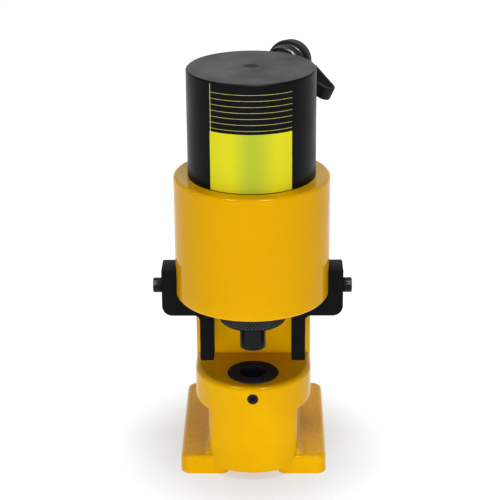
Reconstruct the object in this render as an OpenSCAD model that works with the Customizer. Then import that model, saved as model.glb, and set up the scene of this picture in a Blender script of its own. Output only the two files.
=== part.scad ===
// Hydraulic hole punch: a cast C-frame with a screwed-in cylinder, a spring-returned ram that carries
// the punch, a die in the lower jaw, two bolted stripper arms and a capped coupler at the rear.
// Lengths are in mm. Z is up from the floor and the work side faces -Y. The origin lies on the floor
// under the middle of the outline. Modules are drawn about the punch axis, and at_punch() places them.

/* [Base and jaw] */
// Width of the base across both feet
base_w = 132; // [120:1:150]
// Reach of the base in front of the punch axis
base_front = 17; // [8:1:30]
// Reach of the base behind the punch axis
base_back = 137; // [130:1:160]
// Thickness of the base flange
base_t = 17.5; // [14:0.5:24]
// Width of the slug channel between the feet
channel_w = 46; // [40:1:60]
// Height of the slug channel under the base
channel_h = 8.5; // [6:0.5:11]
// Half the width of the column that stands on the base
column_r = 40; // [36:0.5:44]
// Radius of the wide jaw on top of the column, also half the width of the spine
jaw_r = 52.5; // [48:0.1:56]
// Wall of the jaw in front of the die
jaw_front = 7.7; // [6:0.1:12]
// Height of the jaw's top face above the floor
jaw_top = 94; // [86:1:110]
// Height of the jaw's full-width wall above its taper
jaw_wall = 30; // [24:1:34]

/* [Throat, spine and barrel] */
// Depth of the throat behind the punch axis
throat_depth = 42; // [38:1:50]
// Clear height of the throat, jaw to barrel
throat_h = 79; // [74:1:90]
// Back of the spine, measured in from the back of the base
spine_inset = 9; // [4:1:14]
// Outer radius of the cast barrel
barrel_r = 67.5; // [65:0.5:72]
// Height of the cast barrel
barrel_h = 111; // [100:1:125]

/* [Cylinder and ram] */
// Outer radius of the steel cylinder
cylinder_r = 55; // [52:0.5:58]
// Height of the cylinder above the barrel
cylinder_show = 94; // [84:1:110]
// Bore radius of the cylinder
bore_r = 40; // [36:0.5:42]
// Thickness of the cylinder's closed end
cylinder_end = 30; // [28:1:36]
// Radius of the ram's rod
rod_r = 25; // [22:0.5:27]
// Height of the piston on the ram
piston_h = 45; // [40:1:50]

/* [Punch and die] */
// Radius of the punch
punch_r = 11.5; // [6:0.5:13]
// Gap from the die up to the punch tip, ram raised
punch_gap = 26; // [24:0.1:30]
// Radius of the knurled punch nut
nut_r = 30; // [28:0.5:32]
// How far the nut hangs below the barrel
nut_drop = 26; // [24:0.5:30]
// Outer radius of the die
die_r = 23.1; // [20:0.1:26]
// Height of the die
die_h = 25; // [20:1:30]
// How far the die stands proud of the jaw
die_proud = 1; // [0.5:0.1:3]

/* [Stripper arms] */
// Thickness of the stripper bar
bar_t = 12; // [10:0.5:14]
// Width of the stripper bar, front to back
bar_w = 26; // [22:1:32]
// Distance from the punch axis to a prong's inner face
prong_in = 34.5; // [34:0.5:40]
// Clear height under the prongs, arms raised
prong_gap = 17; // [14:0.5:22]
// Downward setting range of each arm
arm_travel = 8; // [4:0.5:9]

/* [Coupler and dust cap] */
// Turn of the coupler from straight back, to the right
coupler_turn = 20; // [0:1:30]
// Depth of the coupler axis below the cylinder's top
coupler_drop = 19.5; // [16:0.5:20]
// Outer radius of the rubber dust cap
cap_r = 19.5; // [17.5:0.5:21]
// Width of the cap's strap
strap_w = 12; // [8:1:14]
// Reach of the strap to the middle of its bend, measured from the coupler axis
strap_leg = 42.5; // [38:0.5:48]
// Slope of the strap below level
strap_droop = 25; // [10:1:40]

/* [Hidden] */
$fn = 96;

// Clearances
seat_gap = 0.03;        // screwed or pressed pieces of one body, all round
slide_gap = 0.06;       // running fits between bodies, all round
free_gap = 0.3;         // curved faces that only pass each other
die_gap = 0.4;          // punch to die, all round
rest_gap = 0.5;         // raised nut to barrel
stop_gap = 0.1;         // raised piston to the cylinder's end
ball_gap = 0.05;        // valve ball to its seat
end_gap = 0.2;          // strap ring to the sides of its groove
cut = 1;                // how far a cutter runs past the face it cuts
arc_over = 0.03;        // how far a rounding's arc runs past the faces it blends

// Heights and offsets that follow from the sizes above
barrel_z0 = jaw_top + throat_h;
barrel_z1 = barrel_z0 + barrel_h;
cylinder_top = barrel_z1 + cylinder_show;
die_top = jaw_top + die_proud;
spine_back = base_back - spine_inset;
jaw_back = jaw_r - jaw_front - die_r;
punch_y = (barrel_r - base_back) / 2;

// Cast frame
base_corner = 9;
base_edge = 5;
foot_corner = 6;
foot_fillet = 6;
fillet_lap = 2;
fillet_sink = 0.1;
rim_r = 4.5;
taper_r = 6;
column_edge = 12;
jaw_low = jaw_top - jaw_wall;
taper_top = jaw_low + taper_r * tan(22.5);
spine_front_r = 6;
round_back = spine_back - jaw_r;
shoulder_drop = 12;
spine_top = barrel_z1 - shoulder_drop;
spine_top_r = 42;
spine_lap = 14;
spine_z0 = jaw_top - spine_lap;
barrel_edge = 2.5;
barrel_foot = 4;
slug_r = 15;

// Cylinder, guide bush and ram
ledge_lift = 27;
ledge_z = barrel_z0 + ledge_lift;
bush_wall = 7;
bush_r = rod_r + bush_wall;
bush_flange = 6;
cylinder_z0 = ledge_z + bush_flange;
chamber_top = cylinder_top - cylinder_end;
cylinder_chamfer = 1.2;
dimple_r = 8;
dimple_deep = 1;
wiper_h = 5;
wiper_recess = 0.6;
piston_z1 = chamber_top - stop_gap;
piston_z0 = piston_z1 - piston_h;
dish_r = 18;
dish_deep = 2;
seal_h = 8;
seal_deep = 5;
backup_h = 2;
wear_h = 12;
wear_deep = 2.5;
land_h = 9;
wear_lift = 6;
nose_step = 3;
nose_r = rod_r - nose_step;
wire_r = 4;
coil_r = (rod_r + bore_r) / 2;
coil_turns = 6.5;
coil_rings = 16;
coil_sides = 6;
edge = 1;

// Punch, nut and die
tip_z = die_top + punch_gap;
nut_z0 = barrel_z0 - nut_drop;
nut_z1 = barrel_z0 - rest_gap;
nut_lip = 5;
nut_chamfer = 1.2;
head_step = 7;
head_r = punch_r + head_step;
head_h = 8;
head_chamfer = 0.8;
nose_z0 = nut_z0 + nut_lip + head_h;
die_hole_r = punch_r + die_gap;
die_land = 10;
die_relief = 1.2;
die_chamfer = 0.8;
die_screw_r = 5;
screw_key = 5;
screw_deep = 3.5;
die_screw_drop = 11.5;
die_screw_z = jaw_top - die_screw_drop;
die_screw_in = 1.4;

// Stripper arms and their screws
slot_deep = 3;
slot_x = barrel_r - slot_deep;
tab_in = slot_x + slide_gap;
tab_out = barrel_r + bar_t;
tab_rise = 26;
tab_top = barrel_z0 + tab_rise;
leg_drop = 17.5;
leg_z0 = barrel_z0 - leg_drop;
leg_z1 = leg_z0 + bar_t;
prong_z0 = die_top + prong_gap;
bend_r = 9;
crook_r = 5;
bar_edge = 1.5;
bolt_rise = 7;
bolt_z = barrel_z0 + bolt_rise;
bolt_deep = 20;
bolt_short = 2;
screw_r = 4;
bolt_head_r = 6.5;
bolt_head_h = 8;
bolt_key = 6;
bolt_slot_r = 4.5;

// Coupler, measured along its axis from the cylinder's axis
port_z = cylinder_top - coupler_drop;
oil_r = 3;
drop_r = 2.5;
pipe_r = 8.5;
pipe_deep = 15;
spot_s = cylinder_r - 1;
spot_r = 13.5;
hex_r = 12.7;
hex_h = 9;
body_s = spot_s + hex_h;
pipe_in = 11;
pipe_end = body_s + pipe_in;
body_r = 14.5;
neck_l = 7;
ring_s0 = body_s + neck_l;
groove_w = 4.6;
ring_s1 = ring_s0 + groove_w;
groove_r = 12;
nose_tube_r = 13;
land_l = 1.1;
collar_s0 = ring_s1 + land_l + free_gap;
collar_l = 16;
collar_s1 = collar_s0 + collar_l;
collar_r = 17.4;
clip_s0 = collar_s1 + free_gap;
clip_t = 1;
clip_r = 14.4;
clip_deep = 0.8;
nose_l = 10.5;
nose_s = collar_s1 + nose_l;
mouth_r = 8;
mouth_deep = 4;
seat_lip = 2;
valve_room_r = 7;
ball_r = 5;
ball_seat_r = 4.2;
seat_s = nose_s - mouth_deep - seat_lip;
ball_s = seat_s - sqrt(ball_r * ball_r - ball_seat_r * ball_seat_r) - ball_gap;
valve_room_l = 17;
valve_room_s = body_s + valve_room_l;
valve_wire_r = 0.6;
valve_turns = 4;
cap_s0 = clip_s0 + clip_t + rest_gap;
cap_skirt = 3.5;
cap_step = 1.5;
cap_wall_r = cap_r - cap_step;
cap_end = 5;
cap_s1 = nose_s + cap_end;
cap_edge = 2.5;
ring_r = 15;
strap_t = 2.4;
lug_t = 3.2;
ring_lug_l = 2.5;
cap_lug_l = 3.5;
cap_lug_in = 4;
strap_s0 = (ring_s0 + ring_s1) / 2;
strap_s1 = cap_s1 - cap_lug_in;
strap_bend = 7;
ring_lug = ring_r + ring_lug_l;
cap_lug = cap_r + cap_lug_l;

// Label film on the cylinder
label_t = 0.18;
label_half = 38;
label_margin = 0.6;

// Placement helpers
module at_punch() {
    translate([0, punch_y, 0]) children();
}

// Local Z runs out along the coupler, local X to its right, local Y down.
module on_port() {
    at_punch()
        translate([0, 0, port_z])
            rotate([0, 0, -coupler_turn])
                rotate([-90, 0, 0])
                    children();
}

// The strap's plane: local X runs out along the strap, local Z along the coupler.
module on_strap() {
    on_port() rotate([0, 0, strap_droop]) children();
}

// Extrudes a drawing in X and Z from y0 to y1.
module along_y(y0, y1) {
    translate([0, y1, 0])
        rotate([90, 0, 0])
            linear_extrude(y1 - y0) children();
}

// Extrudes a drawing in Y and Z across the width w.
module across_x(w) {
    rotate([90, 0, 90]) linear_extrude(w, center = true) children();
}

module both_sides() {
    children();
    mirror([1, 0, 0]) children();
}

// What rounding a corner that points to +X +Y takes away.
module corner_waste(r) {
    difference() {
        square(r + cut);
        circle(r);
    }
}

// What filling an inner corner that opens to +X +Y adds.
module corner_fill(r) {
    difference() {
        square(r);
        translate([r, r]) circle(r);
    }
}

// Half profile of a turned block with rounded outer corners.
module turned_profile(r, z0, z1, top_r, foot_r) {
    difference() {
        translate([0, z0]) square([r, z1 - z0]);
        translate([r - top_r, z1 - top_r]) corner_waste(top_r);
        if (foot_r > 0)
            translate([r - foot_r, z0 + foot_r]) mirror([0, 1]) corner_waste(foot_r);
    }
}

// Half profile of a turned block with chamfered outer corners.
module chamfered_profile(r, z0, z1, top_c, foot_c) {
    polygon([
        [0, z0], [r - foot_c, z0], [r, z0 + foot_c],
        [r, z1 - top_c], [r - top_c, z1], [0, z1]
    ]);
}

module tube(r_out, r_in, z0, z1) {
    translate([0, 0, z0])
        difference() {
            cylinder(r = r_out, h = z1 - z0);
            translate([0, 0, -cut]) cylinder(r = r_in, h = z1 - z0 + 2 * cut);
        }
}

// Hexagonal key socket that opens upwards at z.
module key_socket(flats, z, deep) {
    translate([0, 0, z - deep]) cylinder(r = flats / sqrt(3), h = deep + cut, $fn = 6);
}

// Distance between two neighbouring turns of a coil, on the points that make it.
function coil_gap(points) =
    min([
        for (i = [0 : coil_sides - 1])
            for (j = [0 : coil_sides - 1])
                norm(points[i] - points[coil_rings * coil_sides + j])
    ]);

// One unbroken wire, wound from z = 0 to length.
module coil(name, mean_r, wire, length, turns) {
    steps = round(turns * coil_rings);
    rise = (length - 2 * wire) / steps;
    points = [
        for (i = [0 : steps])
            for (j = [0 : coil_sides - 1])
                let (turn = 360 * i / coil_rings, round_wire = 360 * j / coil_sides)
                let (r = mean_r + wire * cos(round_wire))
                    [r * cos(turn), r * sin(turn), wire + rise * i + wire * sin(round_wire)]
    ];
    skin = [
        for (i = [0 : steps - 1])
            for (j = [0 : coil_sides - 1])
                let (a = i * coil_sides + j, b = i * coil_sides + (j + 1) % coil_sides)
                    each [[a, b, b + coil_sides], [a, b + coil_sides, a + coil_sides]]
    ];
    first = [[for (j = [0 : coil_sides - 1]) coil_sides - 1 - j]];
    last = [[for (j = [0 : coil_sides - 1]) steps * coil_sides + j]];
    echo(str(name, " least gap to itself ", coil_gap(points), " mm"));
    polyhedron(points, concat(skin, first, last));
}

// Cast frame
// Half profile of the taper: 45 degrees, from the column out to the jaw's wall, with rounded ends.
module taper_profile() {
    tangent = taper_r * tan(22.5);
    lean = tangent * cos(45);
    inner_r = column_r - fillet_sink;
    inner_z = jaw_low - jaw_r + inner_r;
    difference() {
        polygon([
            [0, inner_z - tangent], [inner_r, inner_z - tangent], [inner_r + lean, inner_z + lean],
            [jaw_r, jaw_low], [jaw_r, taper_top], [0, taper_top]
        ]);
        translate([inner_r + taper_r, inner_z - tangent]) circle(taper_r + arc_over);
        translate([jaw_r - taper_r, taper_top])
            difference() {
                polygon([[0, 0], [taper_r + cut, 0], [taper_r + cut, -taper_r], [taper_r, -taper_r - cut]]);
                circle(taper_r + arc_over);
            }
    }
}

// Turns a half profile into the round front or back of the casting.
module round_end(y, turn) {
    translate([0, y, 0])
        rotate([0, 0, turn])
            rotate_extrude(angle = 180) children();
}

// Plan of the column: the jaw's outline, cut to the column's width, its corners rounded.
module column_plan() {
    long = round_back - jaw_back;
    middle = (jaw_back + round_back) / 2;
    intersection() {
        difference() {
            union() {
                translate([-jaw_r, jaw_back]) square([2 * jaw_r, long]);
                for (y = [jaw_back, round_back]) translate([0, y]) circle(jaw_r);
            }
            translate([0, middle])
                for (x = [0, 1], y = [0, 1])
                    mirror([x, 0]) mirror([0, y]) translate([0, long / 2]) column_corner();
        }
        translate([-column_r, jaw_back - 2 * jaw_r]) square([2 * column_r, long + 4 * jaw_r]);
    }
}

// What rounding a corner of the column takes away, seen from the middle of the jaw's round end.
module column_corner() {
    arc_x = column_r - column_edge;
    arc_y = sqrt(pow(jaw_r - column_edge, 2) - arc_x * arc_x);
    reach = (jaw_r + cut) / (jaw_r - column_edge);
    difference() {
        polygon([
            [arc_x, arc_y], [jaw_r, arc_y], [jaw_r, jaw_r], reach * [arc_x, arc_y]
        ]);
        translate([arc_x, arc_y]) circle(column_edge + arc_over);
    }
}

// The column's front runs straight up into the jaw. Only the jaw's sides stand out over a taper.
module lower_jaw() {
    flush_x = jaw_r * (column_r - column_edge) / (jaw_r - column_edge);
    side_x = (column_r + flush_x) / 2;
    round_end(jaw_back, 180) turned_profile(jaw_r, taper_top, jaw_top, rim_r, 0);
    along_y(jaw_back, round_back) {
        turned_profile(jaw_r, taper_top, jaw_top, rim_r, 0);
        mirror([1, 0]) turned_profile(jaw_r, taper_top, jaw_top, rim_r, 0);
    }
    round_end(round_back, 0) translate([0, taper_top]) square([jaw_r, spine_z0 - taper_top]);
    translate([0, 0, channel_h]) linear_extrude(taper_top - channel_h) column_plan();
    intersection() {
        union() {
            round_end(jaw_back, 180) taper_profile();
            along_y(jaw_back, round_back) {
                taper_profile();
                mirror([1, 0]) taper_profile();
            }
            round_end(round_back, 0) taper_profile();
        }
        both_sides()
            translate([side_x, jaw_back - 2 * jaw_r, 0])
                cube([jaw_r, round_back - jaw_back + 4 * jaw_r, jaw_top]);
    }
}

// Half profile of the spine, its shoulders rounded over.
module spine_profile() {
    turned_profile(jaw_r, spine_z0, spine_top, spine_top_r, 0);
}

// The spine is flat towards the throat and half round at the back.
module spine() {
    difference() {
        union() {
            along_y(throat_depth, round_back) {
                spine_profile();
                mirror([1, 0]) spine_profile();
            }
            round_end(round_back, 0) spine_profile();
        }
        both_sides()
            translate([jaw_r - spine_front_r, throat_depth + spine_front_r, 0])
                linear_extrude(spine_top + cut) mirror([0, 1]) corner_waste(spine_front_r);
    }
}

// Rounded bar section: the base seen along one of its edges.
module base_section(half) {
    turned_profile(half, 0, base_t, base_edge, 0);
    mirror([1, 0]) turned_profile(half, 0, base_t, base_edge, 0);
}

module base() {
    depth = base_front + base_back;
    long = depth / 2 - base_corner;
    wide = base_w / 2 - base_corner;
    translate([0, depth / 2 - base_front, 0]) {
        along_y(-long, long) base_section(base_w / 2);
        across_x(2 * wide) base_section(depth / 2);
        for (corner = [[1, 1, 0], [-1, 1, 90], [-1, -1, 180], [1, -1, 270]])
            translate([corner[0] * wide, corner[1] * long, 0])
                rotate([0, 0, corner[2]])
                    rotate_extrude(angle = 90)
                        turned_profile(base_corner, 0, base_t, base_edge, 0);
    }
}

// Fillets from the column's flat sides down to the flange. Both ends fade out.
module foot_fillets() {
    corner = sqrt(pow(jaw_r - column_edge, 2) - pow(column_r - column_edge, 2));
    front = base_edge - base_front;
    back = round_back + corner;
    difference() {
        both_sides() along_y(front, back) translate([0, base_t]) foot_fillet_section();
        foot_fillet_fade(front, 1);
        foot_fillet_fade(back, -1);
    }
}

// Cuts the end of a fillet off at 45 degrees.
module foot_fillet_fade(y, way) {
    rise = foot_fillet + cut;
    across_x(base_w)
        polygon([
            [y - way * cut, base_t - cut], [y + way * rise, base_t + rise], [y - way * cut, base_t + rise]
        ]);
}

module foot_fillet_section() {
    translate([column_r - fillet_lap, -fillet_lap]) {
        square([fillet_lap + foot_fillet, fillet_lap]);
        square([fillet_lap, fillet_lap + foot_fillet]);
    }
    translate([column_r, 0]) corner_fill(foot_fillet);
}

// The channel that lets slugs out to the front and the back.
module slug_channel() {
    reach = base_front + base_back + 2 * jaw_r;
    translate([-channel_w / 2, -jaw_r, -cut]) cube([channel_w, reach, channel_h + cut]);
    both_sides()
        translate([channel_w / 2 + foot_corner, foot_corner - base_front, -cut])
            linear_extrude(channel_h + cut) rotate(180) corner_waste(foot_corner);
}

module frame() {
    color("#e6ac08")
        at_punch()
            difference() {
                union() {
                    lower_jaw();
                    spine();
                    rotate_extrude()
                        turned_profile(barrel_r, barrel_z0, barrel_z1, barrel_edge, barrel_foot);
                    base();
                    foot_fillets();
                }
                slug_channel();
                translate([0, 0, channel_h - cut]) cylinder(r = slug_r, h = jaw_top);
                translate([0, 0, die_top - die_h]) cylinder(r = die_r + seat_gap, h = die_h + cut);
                translate([0, -cut, die_screw_z])
                    rotate([90, 0, 0]) cylinder(r = die_screw_r + seat_gap, h = jaw_r);
                translate([0, 0, barrel_z0 - cut])
                    cylinder(r = bush_r + seat_gap, h = barrel_h);
                translate([0, 0, ledge_z])
                    cylinder(r = cylinder_r + seat_gap, h = barrel_h);
                both_sides() {
                    translate([slot_x, -bar_w / 2 - slide_gap, barrel_z0 - cut])
                        cube([barrel_r, bar_w + 2 * slide_gap, tab_top - barrel_z0 + 2 * cut]);
                    translate([slot_x - bolt_deep, 0, bolt_z])
                        rotate([0, 90, 0]) cylinder(r = screw_r + seat_gap, h = barrel_r);
                }
            }
}

// Cylinder, guide and ram
module cylinder_tube() {
    dish_ball = (dimple_r * dimple_r + dimple_deep * dimple_deep) / (2 * dimple_deep);
    color("#242424")
        difference() {
            at_punch()
                difference() {
                    rotate_extrude()
                        chamfered_profile(cylinder_r, cylinder_z0, cylinder_top,
                                          cylinder_chamfer, cylinder_chamfer);
                    translate([0, 0, cylinder_z0 - cut])
                        cylinder(r = bore_r, h = chamber_top - cylinder_z0 + cut);
                    translate([0, 0, chamber_top - cut])
                        cylinder(r = drop_r, h = port_z - chamber_top + cut);
                    translate([0, 0, cylinder_top + dish_ball - dimple_deep])
                        sphere(r = dish_ball);
                }
            on_port() {
                translate([0, 0, -2 * oil_r]) cylinder(r = oil_r, h = cylinder_r + 2 * oil_r);
                translate([0, 0, spot_s - pipe_deep]) cylinder(r = pipe_r, h = cylinder_r);
                translate([0, 0, spot_s]) cylinder(r = spot_r, h = cylinder_r);
            }
        }
}

module label() {
    color("#d8c826")
        at_punch()
            rotate([0, 0, -90 - label_half])
                rotate_extrude(angle = 2 * label_half)
                    translate([cylinder_r + seat_gap, barrel_z1 + label_margin])
                        square([label_t, cylinder_show - cylinder_chamfer - 2 * label_margin]);
}

module guide_bush() {
    color("#b08a48")
        at_punch() {
            tube(bush_r, rod_r + slide_gap, barrel_z0 + wiper_recess + wiper_h, ledge_z);
            tube(cylinder_r - free_gap, rod_r + slide_gap, ledge_z, cylinder_z0);
        }
}

module rod_wiper() {
    color("#303036")
        at_punch()
            tube(bush_r, rod_r + slide_gap, barrel_z0 + wiper_recess,
                 barrel_z0 + wiper_recess + wiper_h);
}

// Piston, rod and threaded nose in one piece, with grooves for the seals.
module ram() {
    piston_r = bore_r - slide_gap;
    seal_z = piston_z1 - land_h - seal_h;
    wear_z = piston_z0 + wear_lift;
    color("#9a9a9c")
        at_punch()
            difference() {
                union() {
                    rotate_extrude() chamfered_profile(piston_r, piston_z0, piston_z1, edge, edge);
                    rotate_extrude() chamfered_profile(rod_r, barrel_z0, piston_z0 + cut, 0, 0);
                    rotate_extrude() chamfered_profile(nose_r, nose_z0, barrel_z0 + cut, 0, edge);
                }
                tube(bore_r + cut, piston_r - seal_deep, seal_z - backup_h, seal_z + seal_h);
                tube(bore_r + cut, piston_r - wear_deep, wear_z, wear_z + wear_h);
                translate([0, 0, piston_z1 - dish_deep]) cylinder(r = dish_r, h = dish_deep + cut);
            }
}

// A ring in one of the piston's grooves.
module piston_ring(deep, z0, h) {
    at_punch() tube(bore_r - slide_gap, bore_r - slide_gap - deep + seat_gap, z0, z0 + h);
}

module piston_seal() {
    color("#3a5a8c") piston_ring(seal_deep, piston_z1 - land_h - seal_h, seal_h);
}

module backup_ring() {
    color("#e8e4d8") piston_ring(seal_deep, piston_z1 - land_h - seal_h - backup_h, backup_h);
}

module wear_ring() {
    color("#7a4a2c") piston_ring(wear_deep, piston_z0 + wear_lift, wear_h);
}

module return_spring() {
    color("#6c6e72")
        at_punch()
            translate([0, 0, cylinder_z0])
                coil("return spring", coil_r, wire_r, piston_z0 - cylinder_z0, coil_turns);
}

// Punch, nut and die
module punch() {
    color("#2e2e30")
        at_punch() {
            rotate_extrude() chamfered_profile(punch_r, tip_z, nut_z0 + nut_lip + cut, 0, 0);
            rotate_extrude() chamfered_profile(head_r, nut_z0 + nut_lip, nose_z0, head_chamfer, 0);
        }
}

module punch_nut() {
    color("#2a2a2c")
        at_punch()
            difference() {
                rotate_extrude()
                    chamfered_profile(nut_r, nut_z0, nut_z1, nut_chamfer, nut_chamfer);
                translate([0, 0, nut_z0 - cut]) cylinder(r = punch_r + free_gap, h = nut_drop);
                translate([0, 0, nut_z0 + nut_lip]) cylinder(r = head_r + free_gap, h = nut_drop);
                translate([0, 0, nose_z0]) cylinder(r = nose_r + slide_gap, h = nut_drop);
            }
}

module die() {
    color("#28282a")
        at_punch()
            difference() {
                rotate_extrude()
                    chamfered_profile(die_r, die_top - die_h, die_top, die_chamfer, die_chamfer);
                translate([0, 0, die_top - die_h - cut])
                    cylinder(r = die_hole_r, h = die_h + 2 * cut);
                translate([0, 0, die_top - die_h - cut])
                    cylinder(r = die_hole_r + die_relief, h = die_h - die_land + cut);
            }
}

module die_screw() {
    front_y = jaw_r - jaw_back - die_screw_in;
    color("#303032")
        at_punch()
            translate([0, 0, die_screw_z])
                rotate([90, 0, 0])
                    difference() {
                        translate([0, 0, die_r + seat_gap])
                            cylinder(r = die_screw_r, h = front_y - die_r - seat_gap);
                        key_socket(screw_key, front_y, screw_deep);
                    }
}

// Stripper arms: one flat bar each, bent in under the barrel and down beside the nut.
module arm_profile() {
    difference() {
        union() {
            translate([tab_in, leg_z0]) square([tab_out - tab_in, tab_top - leg_z0]);
            translate([prong_in, leg_z0]) square([tab_out - prong_in, bar_t]);
            translate([prong_in, prong_z0]) square([bar_t, leg_z1 - prong_z0]);
            translate([prong_in + bar_t, leg_z0]) mirror([0, 1]) corner_fill(crook_r);
            translate([tab_in, leg_z1]) mirror([1, 0]) corner_fill(crook_r);
        }
        translate([tab_out - bend_r, leg_z0 + bend_r]) mirror([0, 1]) corner_waste(bend_r);
        translate([prong_in + bend_r, leg_z1 - bend_r]) mirror([1, 0]) corner_waste(bend_r);
        translate([tab_out - bar_edge, tab_top - bar_edge]) corner_waste(bar_edge);
    }
}

// The slot that the screw clamps through, so that the arm can be set lower.
module arm_slot() {
    for (z = [bolt_z, bolt_z + arm_travel])
        translate([tab_in - cut, 0, z]) rotate([0, 90, 0]) cylinder(r = bolt_slot_r, h = tab_out);
    translate([tab_in - cut, -bolt_slot_r, bolt_z]) cube([tab_out, 2 * bolt_slot_r, arm_travel]);
}

module stripper_right() {
    color("#1e1e20")
        at_punch()
            difference() {
                along_y(-bar_w / 2, bar_w / 2) arm_profile();
                arm_slot();
            }
}

module stripper_left() {
    mirror([1, 0, 0]) stripper_right();
}

// Socket cap screw, its head on the arm and its thread in the barrel.
module stripper_bolt_right() {
    color("#262628")
        at_punch()
            translate([tab_out, 0, bolt_z])
                rotate([0, 90, 0])
                    difference() {
                        union() {
                            rotate_extrude()
                                chamfered_profile(bolt_head_r, 0, bolt_head_h, head_chamfer, 0);
                            translate([0, 0, slot_x - bolt_deep + bolt_short - tab_out])
                                cylinder(r = screw_r, h = tab_out - slot_x + bolt_deep - cut);
                        }
                        key_socket(bolt_key, bolt_head_h, screw_r);
                    }
}

module stripper_bolt_left() {
    mirror([1, 0, 0]) stripper_bolt_right();
}

// Coupler and dust cap
module port_nipple() {
    color("#8c8c90")
        on_port()
            difference() {
                union() {
                    translate([0, 0, spot_s - pipe_deep + cut])
                        cylinder(r = pipe_r - seat_gap, h = pipe_end - spot_s + pipe_deep - 2 * cut);
                    translate([0, 0, spot_s]) cylinder(r = hex_r, h = hex_h, $fn = 6);
                }
                cylinder(r = oil_r, h = pipe_end);
            }
}

module coupler_body() {
    color("#7c7c80")
        on_port()
            difference() {
                union() {
                    tube(body_r, pipe_r, body_s, ring_s0);
                    tube(groove_r, pipe_r, ring_s0, ring_s1);
                    translate([0, 0, ring_s1]) cylinder(r = body_r, h = land_l);
                    translate([0, 0, ring_s1])
                        rotate_extrude() chamfered_profile(nose_tube_r, 0, nose_s - ring_s1, edge, 0);
                }
                tube(body_r + cut, nose_tube_r - clip_deep, clip_s0, clip_s0 + clip_t);
                translate([0, 0, body_s - cut]) cylinder(r = pipe_r, h = pipe_end - body_s + cut);
                translate([0, 0, body_s]) cylinder(r = oil_r, h = valve_room_s - body_s + cut);
                translate([0, 0, valve_room_s])
                    cylinder(r = valve_room_r, h = seat_s - valve_room_s);
                translate([0, 0, valve_room_s]) cylinder(r = ball_seat_r, h = nose_s);
                translate([0, 0, nose_s - mouth_deep]) cylinder(r = mouth_r, h = mouth_deep + cut);
            }
}

module coupler_collar() {
    color("#2c2c2e")
        on_port()
            difference() {
                rotate_extrude() chamfered_profile(collar_r, collar_s0, collar_s1, edge, edge);
                translate([0, 0, collar_s0 - cut])
                    cylinder(r = nose_tube_r + slide_gap, h = collar_s1 - collar_s0 + 2 * cut);
            }
}

module collar_clip() {
    color("#8c8c90")
        on_port()
            tube(clip_r, nose_tube_r - clip_deep + seat_gap,
                 clip_s0 + seat_gap, clip_s0 + clip_t - seat_gap);
}

module valve_ball() {
    color("#a8a8ac") on_port() translate([0, 0, ball_s]) sphere(r = ball_r);
}

// The spring ends where the inside of its last turn meets the ball.
module valve_spring() {
    mean_r = ball_r - valve_wire_r;
    inside_r = mean_r * cos(180 / coil_rings);
    touch = sqrt(pow(ball_r + valve_wire_r, 2) - inside_r * inside_r) - valve_wire_r;
    color("#6c6e72")
        on_port()
            translate([0, 0, valve_room_s])
                coil("valve spring", mean_r, valve_wire_r,
                     ball_s - touch - ball_gap - valve_room_s, valve_turns);
}

module strap_ring() {
    color("#1c1c1e")
        on_strap()
            difference() {
                union() {
                    translate([0, 0, ring_s0 + end_gap])
                        cylinder(r = ring_r, h = groove_w - 2 * end_gap);
                    translate([0, -strap_w / 2, strap_s0 - lug_t / 2])
                        cube([ring_lug, strap_w, lug_t]);
                }
                translate([0, 0, ring_s0 - cut])
                    cylinder(r = groove_r + seat_gap, h = ring_s1 - ring_s0 + 2 * cut);
            }
}

// Everything inside the strap's loop, out to r from the middle of its bend. It opens to the left.
module strap_loop(r, turn, reach, left) {
    edge_r = r - arc_over;
    side = edge_r * [cos(turn), sin(turn)];
    far = side + reach * [-sin(turn), cos(turn)];
    circle(r);
    polygon([[left, -edge_r], [0, -edge_r], [0, 0], side, far, [left, far[1]]]);
}

// The strap lies in one plane: level out from the ring, round a bend, and slanting back to the cap.
module cap_strap() {
    bend_s = strap_s0 + strap_bend;
    way = [cap_lug - strap_leg, strap_s1 - bend_s];
    turn = atan2(way[1], way[0]) - acos(strap_bend / norm(way));
    reach = norm(way);
    left = ring_lug - strap_leg;
    color("#1c1c1e")
        on_strap()
            along_y(-strap_w / 2, strap_w / 2)
                translate([strap_leg, bend_s])
                    difference() {
                        strap_loop(strap_bend + strap_t / 2, turn, reach, left);
                        strap_loop(strap_bend - strap_t / 2, turn, reach, left - cut);
                        translate([left - cut, 0]) square([cap_lug - ring_lug + cut, 2 * reach]);
                    }
}

module dust_cap() {
    color("#1a1a1c")
        on_strap()
            difference() {
                union() {
                    translate([0, 0, cap_s0]) cylinder(r = cap_r, h = cap_skirt);
                    rotate_extrude() turned_profile(cap_wall_r, cap_s0, cap_s1, cap_edge, 0);
                    translate([0, -strap_w / 2, strap_s1 - lug_t / 2])
                        cube([cap_lug, strap_w, lug_t]);
                }
                translate([0, 0, cap_s0 - cut])
                    cylinder(r = nose_tube_r + slide_gap, h = nose_s + rest_gap - cap_s0 + cut);
            }
}

frame();
cylinder_tube();  // cylinder
label();
guide_bush();
rod_wiper();
ram();
piston_seal();
backup_ring();
wear_ring();
return_spring();
punch();
punch_nut();
die();
die_screw();
stripper_left();
stripper_right();
stripper_bolt_left();
stripper_bolt_right();
port_nipple();
coupler_body();
coupler_collar();
collar_clip();
valve_ball();
valve_spring();
strap_ring();
cap_strap();
dust_cap();
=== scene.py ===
import math

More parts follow.
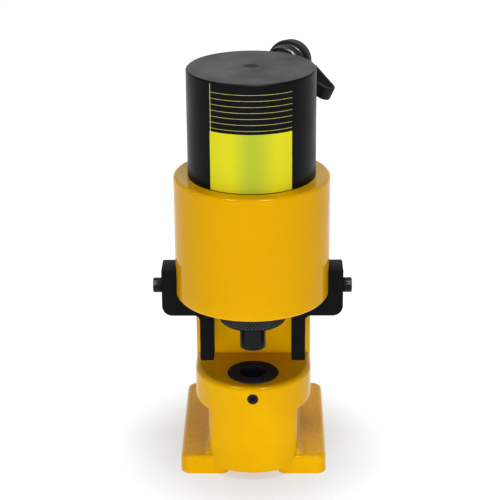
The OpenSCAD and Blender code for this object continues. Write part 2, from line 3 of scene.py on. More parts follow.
import bmesh
import bpy
from mathutils import Matrix, Vector
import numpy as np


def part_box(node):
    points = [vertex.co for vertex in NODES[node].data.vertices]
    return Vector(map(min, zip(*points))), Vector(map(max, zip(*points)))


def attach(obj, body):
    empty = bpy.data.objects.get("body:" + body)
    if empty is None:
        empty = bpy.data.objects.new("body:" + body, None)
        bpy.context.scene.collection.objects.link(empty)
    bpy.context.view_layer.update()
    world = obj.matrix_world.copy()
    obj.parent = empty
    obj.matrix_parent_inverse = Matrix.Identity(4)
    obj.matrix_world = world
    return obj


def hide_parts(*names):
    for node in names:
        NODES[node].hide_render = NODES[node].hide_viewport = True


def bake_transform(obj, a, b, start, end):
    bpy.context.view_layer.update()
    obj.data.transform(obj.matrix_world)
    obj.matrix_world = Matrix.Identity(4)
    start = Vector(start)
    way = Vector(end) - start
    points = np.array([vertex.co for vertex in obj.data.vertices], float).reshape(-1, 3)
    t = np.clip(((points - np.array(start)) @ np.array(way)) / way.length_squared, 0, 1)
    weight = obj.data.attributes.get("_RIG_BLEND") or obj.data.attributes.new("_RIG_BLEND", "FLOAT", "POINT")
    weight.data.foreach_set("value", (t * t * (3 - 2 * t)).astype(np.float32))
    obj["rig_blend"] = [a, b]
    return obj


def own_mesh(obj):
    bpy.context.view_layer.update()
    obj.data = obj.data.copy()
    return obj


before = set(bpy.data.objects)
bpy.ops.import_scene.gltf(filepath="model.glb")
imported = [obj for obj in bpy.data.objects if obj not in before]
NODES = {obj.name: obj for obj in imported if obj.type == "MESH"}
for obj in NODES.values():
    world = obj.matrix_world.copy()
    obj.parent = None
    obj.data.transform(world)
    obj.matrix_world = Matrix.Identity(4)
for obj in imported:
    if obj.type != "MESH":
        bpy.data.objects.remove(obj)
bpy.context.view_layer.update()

MM = 0.001
# Distances below which points count as one, or as lying on a wall
MERGED = 0.0005 * MM
NEAR = 0.01 * MM

# Places shared with the solids, in metres
punch_low, punch_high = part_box("punch")
PUNCH_AXIS = Vector(((punch_low.x + punch_high.x) / 2, (punch_low.y + punch_high.y) / 2, 0))
AT_PUNCH = Matrix.Translation(PUNCH_AXIS)
ball_low, ball_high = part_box("valve_ball")
BALL = (ball_low + ball_high) / 2
STRAP_DROOP = math.radians(25)
# Local Z runs out along the coupler, local X to its right and local Y down
ON_PORT = (
    Matrix.Translation((PUNCH_AXIS.x, PUNCH_AXIS.y, BALL.z))
    @ Matrix.Rotation(-math.atan2(BALL.x - PUNCH_AXIS.x, BALL.y - PUNCH_AXIS.y), 4, "Z")
    @ Matrix.Rotation(math.radians(-90), 4, "X")
)
ON_STRAP = ON_PORT @ Matrix.Rotation(STRAP_DROOP, 4, "Z")


# Materials

def linear(colour):
    """An sRGB hex colour as linear RGBA."""
    parts = [int(colour[i:i + 2], 16) / 255 for i in (1, 3, 5)]
    return [c / 12.92 if c <= 0.04045 else ((c + 0.055) / 1.055) ** 2.4 for c in parts] + [1]


def cells(mm):
    """The texture scale that gives features of about this size."""
    return 1 / (mm * MM)


def add(tree, kind, links, **settings):
    """Adds a shader node, sets its properties and links or fills its sockets."""
    node = tree.nodes.new("ShaderNode" + kind)
    for name, value in settings.items():
        setattr(node, name, value)
    for socket, value in links.items():
        if isinstance(value, bpy.types.NodeSocket):
            tree.links.new(value, node.inputs[socket])
        else:
            node.inputs[socket].default_value = value
    return node


def begin(name, roughness=0.5, metallic=0.0, specular=0.5):
    """A new material: the material, its tree, its shader and its object coordinates."""
    material = bpy.data.materials.new(name)
    material.use_nodes = True
    tree = material.node_tree
    shader = tree.nodes["Principled BSDF"]
    shader.inputs["Roughness"].default_value = roughness
    shader.inputs["Metallic"].default_value = metallic
    shader.inputs["Specular IOR Level"].default_value = specular
    return material, tree, shader, add(tree, "TexCoord", {}).outputs["Object"]


def clouded(tree, shader, place, size, detail, dark, light):
    """Colours a shader in two close tones that a noise of this size in mm mixes. Returns the noise."""
    noise = add(tree, "TexNoise", {"Vector": place, "Scale": cells(size), "Detail": detail})
    colour = add(tree, "Mix", {0: noise.outputs[0], 6: linear(dark), 7: linear(light)},
                 data_type="RGBA")
    tree.links.new(colour.outputs[2], shader.inputs["Base Color"])
    return noise.outputs[0]


def enamel_on_casting():
    """Glossy enamel on sand-cast steel: a slow swell from the mould, fine orange peel, soft shine."""
    material, tree, shader, place = begin("enamel_on_casting", specular=0.16)
    shader.inputs["Specular Tint"].default_value = linear("#ffdc96")
    facing = add(tree, "NewGeometry", {}).outputs["Normal"]
    tint = add(tree, "TexNoise", {"Vector": place, "Scale": cells(45), "Detail": 2.0})
    colour = add(tree, "Mix", {0: tint.outputs[0], 6: linear("#dea600"), 7: linear("#efbd02")},
                 data_type="RGBA")
    height = add(tree, "SeparateXYZ", {"Vector": place}).outputs["Z"]
    level = add(tree, "SeparateXYZ", {"Vector": facing}).outputs["Z"]
    # painted shade: from 120 mm up the paint darkens, so the machined barrel shows a shade deeper than the
    # cast column
    machined = add(tree, "MapRange", {"Value": height, "From Min": 120 * MM, "From Max": 190 * MM,
                                      "To Min": 0.0, "To Max": 0.7})
    painted_shade_toned = add(tree, "Mix", {0: machined.outputs[0], 6: colour.outputs[2], 7: linear("#d29f00")},
                data_type="RGBA")
    # painted reflection and shade, partly workshop grime: the level faces of the base are painted a duller
    # tan in patches
    patch = add(tree, "TexNoise", {"Vector": place, "Scale": cells(5), "Detail": 5.0,
                                   "Roughness": 0.65})
    spread = add(tree, "MapRange", {"Value": patch.outputs[0], "From Min": 0.35, "From Max": 0.75,
                                    "To Min": 0.0, "To Max": 0.4})
    upward = add(tree, "MapRange", {"Value": level, "From Min": 0.5, "From Max": 0.9})
    low_down = add(tree, "MapRange", {"Value": height, "From Min": 30 * MM, "From Max": 60 * MM,
                                      "To Min": 1.0, "To Max": 0.0})
    lying = add(tree, "Math", {0: upward.outputs[0], 1: low_down.outputs[0]}, operation="MULTIPLY")
    grime_and_reflection_amount = add(tree, "Math", {0: lying.outputs[0], 1: spread.outputs[0]}, operation="MULTIPLY")
    grime_and_painted_reflection = add(tree, "Mix", {0: grime_and_reflection_amount.outputs[0], 6: painted_shade_toned.outputs[2], 7: linear("#b88e2a")},
                 data_type="RGBA")
    tree.links.new(grime_and_painted_reflection.outputs[2], shader.inputs["Base Color"])
    shine = add(tree, "TexNoise", {"Vector": place, "Scale": cells(16), "Detail": 3.0})
    rough = add(tree, "MapRange", {"Value": shine.outputs[0], "From Min": 0.3, "From Max": 0.7,
                                   "To Min": 0.1, "To Max": 0.22})
    tree.links.new(rough.outputs[0], shader.inputs["Roughness"])
    # sand-cast faces low down are coarser than the machined barrel
    cast = add(tree, "MapRange", {"Value": height, "From Min": 30 * MM, "From Max": 120 * MM,
                                  "To Min": 0.85, "To Max": 0.35})
    # real orange peel of 1 to 2 mm is too fine for the render, so it is drawn at 3 mm
    swell = add(tree, "TexNoise", {"Vector": place, "Scale": cells(9), "Detail": 2.0})
    peel = add(tree, "TexNoise", {"Vector": place, "Scale": cells(3), "Detail": 2.0})
    low = add(tree, "Bump", {"Height": swell.outputs[0], "Strength": cast.outputs[0],
                             "Distance": 0.3 * MM})
    high = add(tree, "Bump", {"Height": peel.outputs[0], "Strength": cast.outputs[0],
                              "Distance": 0.1 * MM, "Normal": low.outputs[0]})
    tree.links.new(high.outputs[0], shader.inputs["Normal"])
    return material


def satin_black_paint():
    """Sprayed satin black on turned steel: even, with a fine texture that dulls the reflections."""
    material, tree, shader, place = begin("satin_black_paint", specular=0.12)
    tint = clouded(tree, shader, place, 30, 3.0, "#060607", "#0a0a0b")
    rough = add(tree, "MapRange", {"Value": tint, "From Min": 0.3, "From Max": 0.7,
                                   "To Min": 0.27, "To Max": 0.42})
    tree.links.new(rough.outputs[0], shader.inputs["Roughness"])
    # sprayed grain of half a millimetre is too fine for the render, so it is drawn at 1.6 mm
    spray = add(tree, "TexNoise", {"Vector": place, "Scale": cells(1.6), "Detail": 2.0})
    bump = add(tree, "Bump", {"Height": spray.outputs[0], "Strength": 0.3, "Distance": 0.04 * MM})
    tree.links.new(bump.outputs[0], shader.inputs["Normal"])
    return material


def black_oxide_steel(name, dark, light, roughness, specular):
    """Blackened machined steel: a dark, cloudy, oiled oxide. Ground faces stay dull."""
    material, tree, shader, place = begin(name, specular=specular)
    cloud = clouded(tree, shader, place, 6, 4.0, dark, light)
    rough = add(tree, "MapRange", {"Value": cloud, "From Min": 0.3, "From Max": 0.7,
                                   "To Min": roughness - 0.07, "To Max": roughness + 0.07})
    tree.links.new(rough.outputs[0], shader.inputs["Roughness"])
    return material


def worn_knurl_steel():
    """Black oxide on knurled steel: the diamonds' points are painted a grey shine, partly rubbed wear and
    partly painted glints.
    """
    material, tree, shader, place = begin("worn_black_oxide_steel", 0.34, specular=0.4)
    cloud = add(tree, "TexNoise", {"Vector": place, "Scale": cells(5), "Detail": 4.0})
    oxide = add(tree, "Mix", {0: cloud.outputs[0], 6: linear("#0b0b0d"), 7: linear("#17171a")},
                data_type="RGBA")
    wear = add(tree, "Attribute", {}, attribute_name="wear").outputs["Fac"]
    # painted highlight: the marked points are painted grey, partly as wear and partly as glints
    rubbed_and_glint = add(tree, "MapRange", {"Value": wear, "From Min": 0.35, "From Max": 0.85})
    colour = add(tree, "Mix", {0: rubbed_and_glint.outputs[0], 6: oxide.outputs[2], 7: linear("#505154")},
                 data_type="RGBA")
    tree.links.new(colour.outputs[2], shader.inputs["Base Color"])
    return material


def black_coated_bar():
    """Flat bar with a satin black coating: nearly black, softly uneven like hot-rolled stock."""
    material, tree, shader, place = begin("black_coated_bar", 0.5, specular=0.06)
    scale = clouded(tree, shader, place, 9, 4.0, "#121213", "#1a1a1b")
    bump = add(tree, "Bump", {"Height": scale, "Strength": 0.3, "Distance": 0.1 * MM})
    tree.links.new(bump.outputs[0], shader.inputs["Normal"])
    return material


def moulded_rubber():
    """Black moulded rubber: matt, slightly grey, with a fine mould grain."""
    material, tree, shader, place = begin("moulded_rubber", 0.55, specular=0.3)
    clouded(tree, shader, place, 12, 3.0, "#0d0d0e", "#151516")
    grain = add(tree, "TexNoise", {"Vector": place, "Scale": cells(0.9), "Detail": 2.0})
    bump = add(tree, "Bump", {"Height": grain.outputs[0], "Strength": 0.3, "Distance": 0.05 * MM})
    tree.links.new(bump.outputs[0], shader.inputs["Normal"])
    return material


def worked_metal(name, dark, light, roughness, grain):
    """Bare or plated metal: two close tones and a fine unevenness in its shine."""
    material, tree, shader, place = begin(name, metallic=1.0)
    cloud = clouded(tree, shader, place, grain, 4.0, dark, light)
    rough = add(tree, "MapRange", {"Value": cloud, "From Min": 0.3, "From Max": 0.7,
                                   "To Min": roughness - 0.06, "To Max": roughness + 0.08})
    tree.links.new(rough.outputs[0], shader.inputs["Roughness"])
    return material


def dull_plastic(name, dark, light, roughness):
    """Turned or moulded engineering plastic: two close tones, matt."""
    material, tree, shader, place = begin(name, roughness)
    clouded(tree, shader, place, 4, 3.0, dark, light)
    return material


def printed_film():
    """Printed polyester film: a glossy black with ruled lines, above a plain yellow block."""
    block_top = 335.8 * MM
    first_rule = 338.8 * MM
    rules = 7
    rule_pitch = 5.07 * MM
    rule_half = 0.2 * MM
    table_top = first_rule + (rules - 0.5) * rule_pitch
    edge_line = (math.radians(-37.4), math.radians(-36.7))
    material, tree, shader, place = begin("printed_film", 0.3, specular=0.14)
    x, y, z = add(tree, "SeparateXYZ", {"Vector": place}).outputs
    depth = add(tree, "Math", {0: -PUNCH_AXIS.y, 1: y}, operation="ADD")
    front = add(tree, "Math", {0: depth.outputs[0], 1: -1.0}, operation="MULTIPLY")
    turn = add(tree, "Math", {0: x, 1: front.outputs[0]}, operation="ARCTAN2").outputs[0]
    # ruled lines: the distance from a height to the nearest rule
    lift = add(tree, "Math", {0: z, 1: first_rule - rule_pitch / 2}, operation="SUBTRACT")
    phase = add(tree, "Math", {0: lift.outputs[0], 1: rule_pitch}, operation="FLOORED_MODULO")
    off = add(tree, "Math", {0: phase.outputs[0], 1: rule_pitch / 2}, operation="SUBTRACT")
    away = add(tree, "Math", {0: off.outputs[0]}, operation="ABSOLUTE")
    rule = add(tree, "Math", {0: away.outputs[0], 1: rule_half}, operation="LESS_THAN")
    above = add(tree, "Math", {0: z, 1: block_top}, operation="GREATER_THAN")
    below = add(tree, "Math", {0: z, 1: table_top}, operation="LESS_THAN")
    table = add(tree, "Math", {0: above.outputs[0], 1: below.outputs[0]}, operation="MULTIPLY")
    ruled = add(tree, "Math", {0: rule.outputs[0], 1: table.outputs[0]}, operation="MULTIPLY")
    # the upright line along the left edge
    right_of = add(tree, "Math", {0: turn, 1: edge_line[0]}, operation="GREATER_THAN")
    left_of = add(tree, "Math", {0: turn, 1: edge_line[1]}, operation="LESS_THAN")
    edge = add(tree, "Math", {0: right_of.outputs[0], 1: left_of.outputs[0]}, operation="MULTIPLY")
    lines = add(tree, "Math", {0: ruled.outputs[0], 1: edge.outputs[0]}, operation="MAXIMUM")
    # the block fades from lemon at its sides to a greener yellow in the middle
    fade = add(tree, "MapRange", {"Value": turn, "From Min": -0.35, "From Max": 0.0,
                                  "To Min": 0.0, "To Max": 1.0}, interpolation_type="SMOOTHSTEP")
    back = add(tree, "MapRange", {"Value": turn, "From Min": 0.05, "From Max": 0.45,
                                  "To Min": 1.0, "To Max": 0.0}, interpolation_type="SMOOTHSTEP")
    middle = add(tree, "Math", {0: fade.outputs[0], 1: back.outputs[0]}, operation="MULTIPLY")
    yellow = add(tree, "Mix", {0: middle.outputs[0], 6: linear("#d6d022"), 7: linear("#b2bb34")},
                 data_type="RGBA")
    ink = add(tree, "Mix", {0: lines.outputs[0], 6: linear("#08080a"), 7: linear("#c4bf6e")},
              data_type="RGBA")
    print_side = add(tree, "Mix", {0: above.outputs[0], 6: yellow.outputs[2], 7: ink.outputs[2]},
                     data_type="RGBA")
    tree.links.new(print_side.outputs[2], shader.inputs["Base Color"])
    ripple = add(tree, "TexNoise", {"Vector": place, "Scale": cells(18), "Detail": 1.0})
    bump = add(tree, "Bump", {"Height": ripple.outputs[0], "Strength": 0.2, "Distance": 0.1 * MM})
    tree.links.new(bump.outputs[0], shader.inputs["Normal"])
    return material


enamel = enamel_on_casting()
black_paint = satin_black_paint()
black_steel = black_oxide_steel("black_oxide_steel", "#09090c", "#111116", 0.32, 0.25)
dull_steel = black_oxide_steel("dull_black_oxide_steel", "#2b2b36", "#373742", 0.75, 0.06)
bar_coating = black_coated_bar()
rubber = moulded_rubber()
film = printed_film()
knurl_steel = worn_knurl_steel()
bronze = worked_metal("bearing_bronze", "#8c6a34", "#b58d4c", 0.34, 3)
ground_steel = worked_metal("ground_steel", "#8d8e91", "#a9aaad", 0.22, 2)
spring_steel = worked_metal("oiled_spring_steel", "#4d4f54", "#6a6c70", 0.36, 4)
zinc_plate = worked_metal("zinc_plate", "#8a8b8d", "#a4a5a8", 0.38, 5)
seal = dull_plastic("seal_polyurethane", "#1d2430", "#28303c", 0.5)
ptfe = dull_plastic("ptfe", "#d9d5c8", "#e8e4d8", 0.45)
phenolic = dull_plastic("phenolic_fabric", "#5c3620", "#7a4a2c", 0.5)

FINISH = {
    "frame": enamel, "cylinder": black_paint, "label": film, "guide_bush": bronze,
    "rod_wiper": seal, "ram": ground_steel, "piston_seal": seal, "backup_ring": ptfe,
    "wear_ring": phenolic, "punch": black_steel, "die": dull_steel, "die_screw": dull_steel,
    "port_nipple": zinc_plate, "coupler_body": zinc_plate, "collar_clip": spring_steel,
    "valve_ball": ground_steel, "strap_ring": rubber,
}
for node, finish in FINISH.items():
    NODES[node].data.materials.clear()
    NODES[node].data.materials.append(finish)


# Pieces

def scene_object(name, bm, material, smooth):
    """Makes the mesh an object of the scene, shaded smooth up to an angle in degrees."""
    bmesh.ops.remove_doubles(bm, verts=bm.verts, dist=MERGED)
    bmesh.ops.recalc_face_normals(bm, faces=bm.faces)
    mesh = bpy.data.meshes.new(name)
    bm.to_mesh(mesh)
    bm.free()
    mesh.materials.append(material)
    mesh.polygons.foreach_set("use_smooth", [True] * len(mesh.polygons))
    mesh.set_sharp_from_angle(angle=math.radians(smooth))
    piece = bpy.data.objects.new(name, mesh)
    bpy.context.scene.collection.objects.link(piece)
    return piece


def finished(name, bm, node, body, material, smooth=32):
    """Makes the mesh an object that stands for a CAD node and rides on its body."""
    piece = scene_object(name, bm, material, smooth)
    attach(piece, body)
    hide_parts(node)
    return piece


def turned(bm, outline, steps, ring=True):
    """Spins an outline of (radius, height) points in mm round Z. A ring's outline is closed."""
    points = [bm.verts.new((r * MM, 0, z * MM)) for r, z in outline]
    pairs = list(zip(points, points[1:]))
    if ring:
        pairs.append((points[-1], points[0]))
    lines = [bm.edges.new(pair) for pair in pairs]
    bmesh.ops.spin(bm, geom=points + lines, cent=(0, 0, 0), axis=(0, 0, 1), dvec=(0, 0, 0),
                   angle=2 * math.pi, steps=steps, use_merge=True)
    bmesh.ops.remove_doubles(bm, verts=bm.verts, dist=MERGED)
    bmesh.ops.recalc_face_normals(bm, faces=bm.faces)


def radius(vert):
    """A vertex's distance from the Z axis."""
    return math.hypot(vert.co.x, vert.co.y)


def knurl_rows(r, z0, z1, rows):
    """The outline points of a wall that a knurl needs, from z0 to z1."""
    return [(r, z0 + (z1 - z0) * i / rows) for i in range(rows + 1)]


def diamond_knurl(bm, wall_r, z0, z1, depth):
    """Presses diamonds into the quads of a turned wall, and marks their points for the grey of wear and
    painted glints.
    """
    wall = [
        face for face in bm.faces
        if all(abs(radius(v) - wall_r * MM) < NEAR for v in face.verts)
        and z0 * MM - NEAR < face.calc_center_median().z < z1 * MM + NEAR
    ]
    inside = set(wall)
    crossed = [e for e in bm.edges if e.link_faces and all(f in inside for f in e.link_faces)]
    centres = set(bmesh.ops.poke(bm, faces=wall, offset=0)["verts"])
    bmesh.ops.dissolve_edges(bm, edges=crossed, use_verts=False)
    diamonds = [f for f in bm.faces if len(f.verts) == 4 and any(v in centres for v in f.verts)]
    # the points get the mark that the material paints grey, as wear and as painted glints
    worn_and_glint = bm.verts.layers.float["wear"]
    for point in bmesh.ops.poke(bm, faces=diamonds, offset=depth * MM)["verts"]:
        point[worn_and_glint] = 1


def knurled_nut():
    """The punch nut: chamfered, knurled all the way up, with its lip under the punch's head."""
    low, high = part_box("punch_nut")
    z0, z1 = low.z / MM, high.z / MM
    outer = (high.x - low.x) / 2 / MM
    depth = 0.6
    wall = outer - depth
    chamfer = 1.6
    # the punch's head rests on the lip, and its shank passes through it
    head = (punch_high.x - punch_low.x) / 2 / MM
    head_rim, gap = 7, 0.3
    shank = head - head_rim
    lip, lip_edge = 5, 0.5
    # the thread on the ram's nose, and the mouth that leads into it
    seat, thread_r = 13, 22.06
    mouth_r, mouth_deep = 22.6, 0.6
    # a real knurl of 1.5 mm is too fine for the render, so the diamonds are twice as wide
    steps, rows = 60, 6
    bm = bmesh.new()
    bm.verts.layers.float.new("wear")
    turned(bm, [
        (shank + gap + lip_edge, z0), (wall - chamfer, z0),
        *knurl_rows(wall, z0 + chamfer, z1 - chamfer, rows),
        (wall - chamfer, z1), (mouth_r, z1), (thread_r, z1 - mouth_deep), (thread_r, z0 + seat),
        (head + gap, z0 + seat), (head + gap, z0 + lip),
        (shank + gap, z0 + lip), (shank + gap, z0 + lip_edge),
    ], steps)
    diamond_knurl(bm, wall, z0 + chamfer, z1 - chamfer, depth)
    bm.transform(AT_PUNCH)
    finished("knurled_punch_nut", bm, "punch_nut", "punch_nut", knurl_steel, smooth=20)


def knurled_collar():
    """The coupler's collar, knurled between two plain ends."""
    s0, s1 = 76, 92
    outer, bore, depth = 17.4, 13.06, 0.5
    wall = outer - depth
    chamfer, plain = 1, 2.2
    knurl0, knurl1 = s0 + plain + depth, s1 - plain - depth
    steps, rows = 44, 4
    bm = bmesh.new()
    bm.verts.layers.float.new("wear")
    turned(bm, [
        (bore, s0), (outer - chamfer, s0), (outer, s0 + chamfer), (outer, s0 + plain),
        *knurl_rows(wall, knurl0, knurl1, rows),
        (outer, s1 - plain), (outer, s1 - chamfer), (outer - chamfer, s1), (bore, s1),
    ], steps)
    diamond_knurl(bm, wall, knurl0, knurl1, depth)
    bm.transform(ON_PORT)
    finished("knurled_collar", bm, "coupler_collar", "coupler_collar", knurl_steel,
             smooth=20)


def cap_screw(side):
    """An M8 socket cap screw: knurled head, rounded rim and hexagon socket."""
    head_r, head_h, flats, deep, drill_point = 6.5, 8, 6, 4, 0.8
    shank_r, shank_end, tip = 4, -33, 0.7
    # how far the rounded corners at the head's top and bottom stand in, and at what height
    rim = [(0.9, head_h), (0.35, head_h - 0.2), (0, head_h - 0.8)]
    foot = [(0, 1.0), (0.3, 0.4), (0.6, 0)]
    # between two teeth the head keeps this share of its radius
    teeth, valley = 36, 0.965
    bm = bmesh.new()
    turned(bm, [
        (0, head_h - deep - drill_point), (flats / 2, head_h - deep), (flats / 2, head_h),
        *((head_r - inset, z) for inset, z in rim + foot),
        (shank_r, 0), (shank_r, shank_end + tip), (shank_r - tip, shank_end), (0, shank_end),
    ], 2 * teeth, ring=False)
    for vert in bm.verts:
        step = round(math.atan2(vert.co.y, vert.co.x) / (math.pi / teeth))
        in_socket = vert.co.z > (head_h - deep) * MM - NEAR
        if abs(radius(vert) - head_r * MM) < NEAR and step % 2:
            bmesh.ops.scale(bm, vec=(valley, valley, 1), verts=[vert])
        if abs(radius(vert) - flats / 2 * MM) < NEAR and in_socket:
            corner = (step * math.pi / teeth) % (math.pi / 3) - math.pi / 6
            grow = 1 / math.cos(corner)
            bmesh.ops.scale(bm, vec=(grow, grow, 1), verts=[vert])
    low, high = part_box("stripper_bolt_" + side)
    seat_x = high.x - head_h * MM if side == "right" else low.x + head_h * MM
    turn = math.radians(90 if side == "right" else -90)
    bm.transform(
        Matrix.Translation((seat_x, PUNCH_AXIS.y, (low.z + high.z) / 2))
        @ Matrix.Rotation(turn, 4, "Y")
    )
    finished("cap_screw_" + side, bm, "stripper_bolt_" + side, "frame", black_steel,
             smooth=25)


def softened(name, node, body, material, width, corners=True):
    """A copy of a CAD node with its sharp edges rounded, as coating or moulding leaves them.

    Without corners, an edge stays sharp where it ends or meets two or more other sharp edges.
    """
    flat, sharp = math.radians(1), math.radians(40)
    bm = bmesh.new()
    bm.from_mesh(NODES[node].data)
    bmesh.ops.remove_doubles(bm, verts=bm.verts, dist=2 * MERGED)
    bmesh.ops.dissolve_limit(bm, angle_limit=flat, verts=bm.verts, edges=bm.edges)
    edges = [e for e in bm.edges if len(e.link_faces) == 2 and e.calc_face_angle() > sharp]
    if not corners:
        hard = set(edges)
        knots = {v for v in bm.verts if sum(e in hard for e in v.link_edges) not in (0, 2)}
        edges = [e for e in edges if not knots.intersection(e.verts)]
    bmesh.ops.bevel(bm, geom=edges, offset=width * MM, offset_type="OFFSET", segments=3,
                    profile=0.5, affect="EDGES", material=-1, clamp_overlap=False)
    finished(name, bm, node, body, material)


def of_kind(made, kind):
    """The vertices, edges or faces among what an operator made."""
    return [part for part in made if isinstance(part, kind)]


def with_border(face):
    """A face with its edges and vertices, as spin takes it."""
    return [face, *face.edges, *face.verts]


def wound_wire(bm, mean_r, wire_r, length, turns):
    """One wire wound from z = 0 to length, its first and last turns closed up, in mm."""
    end_turns = 1
    end_rise = 2.1 * wire_r
    middle = turns - 2 * end_turns
    middle_rise = (length - 2 * wire_r - 2 * end_rise) / middle
    per_turn, sides = 28, 12
    section = bmesh.ops.create_circle(bm, cap_ends=True, segments=sides, radius=wire_r * MM)["verts"]
    bmesh.ops.rotate(bm, verts=section, cent=(0, 0, 0), matrix=Matrix.Rotation(math.pi / 2, 3, "X"))
    bmesh.ops.translate(bm, verts=section, vec=(mean_r * MM, 0, wire_r * MM))
    end = bm.faces[:][0]
    for count, rise in ((end_turns, end_rise), (middle, middle_rise), (end_turns, end_rise)):
        steps = round(per_turn * count)
        made = bmesh.ops.spin(
            bm, geom=with_border(end), cent=(0, 0, 0), axis=(0, 0, 1),
            dvec=(0, 0, rise * count * MM / steps), angle=2 * math.pi * count, steps=steps,
        )
        end = of_kind(made["geom_last"], bmesh.types.BMFace)[0]


def return_spring():
    """The spring round the rod."""
    low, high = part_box("return_spring")
    length = (high.z - low.z) / MM
    mean_r, wire_r, turns, stroke = 32.5, 4, 6.5, 29
    bm = bmesh.new()
    wound_wire(bm, mean_r, wire_r, length, turns)
    bm.transform(AT_PUNCH @ Matrix.Translation((0, 0, low.z)))
    spring = finished("wound_return_spring", bm, "return_spring", "frame",
                      spring_steel)
    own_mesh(spring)


def valve_spring():
    """The spring behind the coupler's ball."""
    start, length, push = 80, 10.7, 3
    mean_r, wire_r, turns = 4.4, 0.6, 5
    bm = bmesh.new()
    wound_wire(bm, mean_r, wire_r, length, turns)
    bm.transform(ON_PORT @ Matrix.Translation((0, 0, start * MM)))
    spring = finished("wound_valve_spring", bm, "valve_spring", "frame",
                      spring_steel)
    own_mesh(spring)


def strap():
    """The cap's strap: a rubber band, level from its ring, bent, and slanting back to the cap."""
    # along the coupler: the ring and the cap. Away from its axis: the bend and the band's two ends
    s0, s1, leg, ring_end, cap_end = 72.3, 103.5, 42.5, 17.5, 23
    width, thick, edge, bend_r, bend_steps = 12, 2.4, 0.8, 7, 20
    way = Vector((cap_end - leg, s1 - s0 - bend_r))
    turn = math.atan2(way.y, way.x) - math.acos(bend_r / way.length)
    run = Vector((-math.sin(turn), 0, math.cos(turn)))
    bm = bmesh.new()
    band = bmesh.ops.create_grid(bm, x_segments=1, y_segments=1, size=0.5)["verts"]
    bmesh.ops.scale(bm, vec=(thick * MM, width * MM, 1), verts=band)
    bmesh.ops.bevel(bm, geom=band, offset=edge * MM, offset_type="OFFSET", segments=3, profile=0.5,
                    affect="VERTICES", material=-1)
    upright = Matrix.Rotation(math.pi / 2, 3, "Y")
    bmesh.ops.rotate(bm, verts=bm.verts, cent=(0, 0, 0), matrix=upright)
    bmesh.ops.translate(bm, verts=bm.verts, vec=(ring_end * MM, 0, s0 * MM))
    made = bmesh.ops.extrude_face_region(bm, geom=bm.faces[:])["geom"]
    bmesh.ops.translate(bm, verts=of_kind(made, bmesh.types.BMVert),
                        vec=((leg - ring_end) * MM, 0, 0))
    bend = bmesh.ops.spin(bm, geom=with_border(of_kind(made, bmesh.types.BMFace)[0]),
                          cent=(leg * MM, 0, (s0 + bend_r) * MM), axis=(0, -1, 0), dvec=(0, 0, 0),
                          angle=turn + math.pi / 2, steps=bend_steps)
    last = of_kind(bend["geom_last"], bmesh.types.BMFace)
    made = bmesh.ops.extrude_face_region(bm, geom=last)["geom"]
    for vert in of_kind(made, bmesh.types.BMVert):
        bmesh.ops.translate(bm, verts=[vert], vec=run * ((cap_end * MM - vert.co.x) / run.x))
    bm.transform(ON_STRAP)
    # the extrusions leave one face inside the band
    bmesh.ops.remove_doubles(bm, verts=bm.verts, dist=MERGED)
    inner = [f for f in bm.faces if all(len(e.link_faces) > 2 for e in f.edges)]
    bmesh.ops.delete(bm, geom=inner, context="FACES_ONLY")
    piece = scene_object("rubber_strap", bm, rubber, smooth=50)
    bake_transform(piece, "frame", "dust_cap", start=ON_PORT @ Vector((0, 0, s0 * MM)),
             end=ON_PORT @ Vector((0, 0, s1 * MM)))
    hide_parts("cap_strap")


ARM_ROUNDING, CAP_ROUNDING = 1.1, 0.7

knurled_nut()
knurled_collar()
for side in ("left", "right"):
    cap_screw(side)
    softened("stripper_arm_" + side, "stripper_" + side, "stripper_" + side,
             bar_coating, ARM_ROUNDING)
softened("moulded_dust_cap", "dust_cap", "dust_cap", rubber, CAP_ROUNDING,
         corners=False)
return_spring()
valve_spring()
strap()


# Studio: a pale floor, soft boxes in front and above, and a surround that is bright at the back

def studio_floor():
    """A pale, glowing sweep with a painted shadow: it glows less around the object."""
    material, tree, shader, place = begin("pale_floor", 0.6, specular=0.2)
    shader.inputs["Base Color"].default_value = linear("#989da4")
    shader.inputs["Emission Color"].default_value = linear("#ffffff")
    split = add(tree, "SeparateXYZ", {"Vector": place})
    flat = add(tree, "CombineXYZ", {"X": split.outputs["X"], "Y": split.outputs["Y"]})
    away = add(tree, "VectorMath", {0: flat.outputs[0]}, operation="LENGTH")
    # painted shadow: the floor glows less within 170 mm of the object
    glow = add(tree, "MapRange", {"Value": away.outputs["Value"], "From Min": 60 * MM,
                                  "From Max": 170 * MM, "To Min": 0.55, "To Max": 0.82},
               interpolation_type="SMOOTHSTEP")
    tree.links.new(glow.outputs[0], shader.inputs["Emission Strength"])
    reach = 40
    bm = bmesh.new()
    bmesh.ops.create_grid(bm, x_segments=1, y_segments=1, size=reach)
    mesh = bpy.data.meshes.new("floor")
    bm.to_mesh(mesh)
    bm.free()
    mesh.materials.append(material)
    floor = bpy.data.objects.new("floor", mesh)
    bpy.context.scene.collection.objects.link(floor)


def soft_light(name, place, aim, size, power, mirrored=True, lights=True):
    """A soft box. Unmirrored it gives no glare, and one that doesn't light only draws highlights."""
    light = bpy.data.lights.new(name, "AREA")
    light.shape = "RECTANGLE"
    light.size, light.size_y = size
    light.energy = power
    lamp = bpy.data.objects.new(name, light)
    lamp.location = place
    lamp.visible_glossy = mirrored
    lamp.visible_diffuse = lights
    lamp.rotation_euler = (Vector(aim) - Vector(place)).to_track_quat("-Z", "Y").to_euler()
    bpy.context.scene.collection.objects.link(lamp)


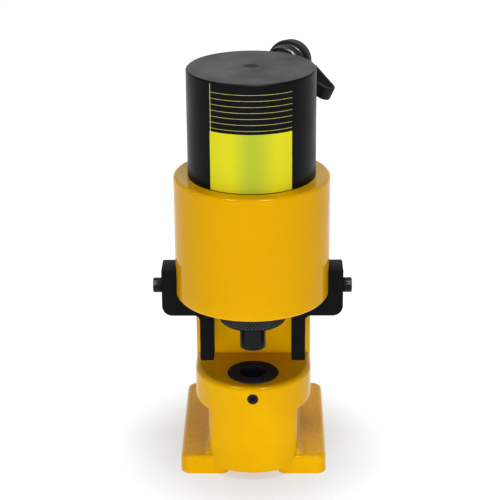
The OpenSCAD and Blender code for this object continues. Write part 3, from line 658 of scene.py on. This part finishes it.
def surround():
    """A dim world, a little lighter overhead and much brighter behind the object."""
    world = bpy.data.worlds.new("surround")
    world.use_nodes = True
    tree = world.node_tree
    way = add(tree, "TexCoord", {}).outputs["Generated"]
    split = add(tree, "SeparateXYZ", {"Vector": way})
    shade = add(tree, "MapRange", {"Value": split.outputs["Z"], "From Min": 0.2, "From Max": 0.85,
                                   "To Min": 0.28, "To Max": 0.3})
    behind = add(tree, "MapRange", {"Value": split.outputs["Y"], "From Min": 0.3, "From Max": 0.9,
                                    "To Min": 1.0, "To Max": 4.4})
    glow = add(tree, "Math", {0: shade.outputs[0], 1: behind.outputs[0]}, operation="MULTIPLY")
    tree.links.new(glow.outputs[0], tree.nodes["Background"].inputs["Strength"])
    tree.nodes["Background"].inputs["Color"].default_value = linear("#ffffff")
    bpy.context.scene.world = world


def photo_camera():
    """The photograph's view: a long lens, a little above the object and almost square to it."""
    turn, tilt, roll = math.radians(0.784), math.radians(68.28), math.radians(-0.4)
    data = bpy.data.cameras.new("photo_camera")
    data.lens = 116.9
    data.sensor_width = 36
    camera = bpy.data.objects.new("photo_camera", data)
    camera.location = (0.0161, -1.3547, 0.7388)
    camera.rotation_euler = (
        Matrix.Rotation(turn, 3, "Z") @ Matrix.Rotation(tilt, 3, "X") @ Matrix.Rotation(roll, 3, "Z")
    ).to_euler()
    bpy.context.scene.collection.objects.link(camera)
    bpy.context.scene.camera = camera


studio_floor()
surround()
soft_light("camera_box", place=(-0.1, -1.95, 0.22), aim=(0, 0, 0.18), size=(0.8, 0.4), power=14.6,
           mirrored=False)
soft_light("top_box", place=(0.15, -0.7, 2.05), aim=(0, 0, 0.2), size=(0.8, 0.2), power=14)
# two highlights along the front rims of the barrel and the jaw
soft_light("rim_box_left", place=(-0.95, -1.2, 1.9), aim=(0, 0, 0.2), size=(0.35, 0.3), power=70,
           lights=False)
soft_light("rim_box_right", place=(0.6, -1.2, 1.9), aim=(0, 0, 0.2), size=(0.35, 0.3), power=60,
           lights=False)
photo_camera()
bpy.context.scene.view_settings.view_transform = "Standard"
bpy.context.scene.view_settings.gamma = 0.88
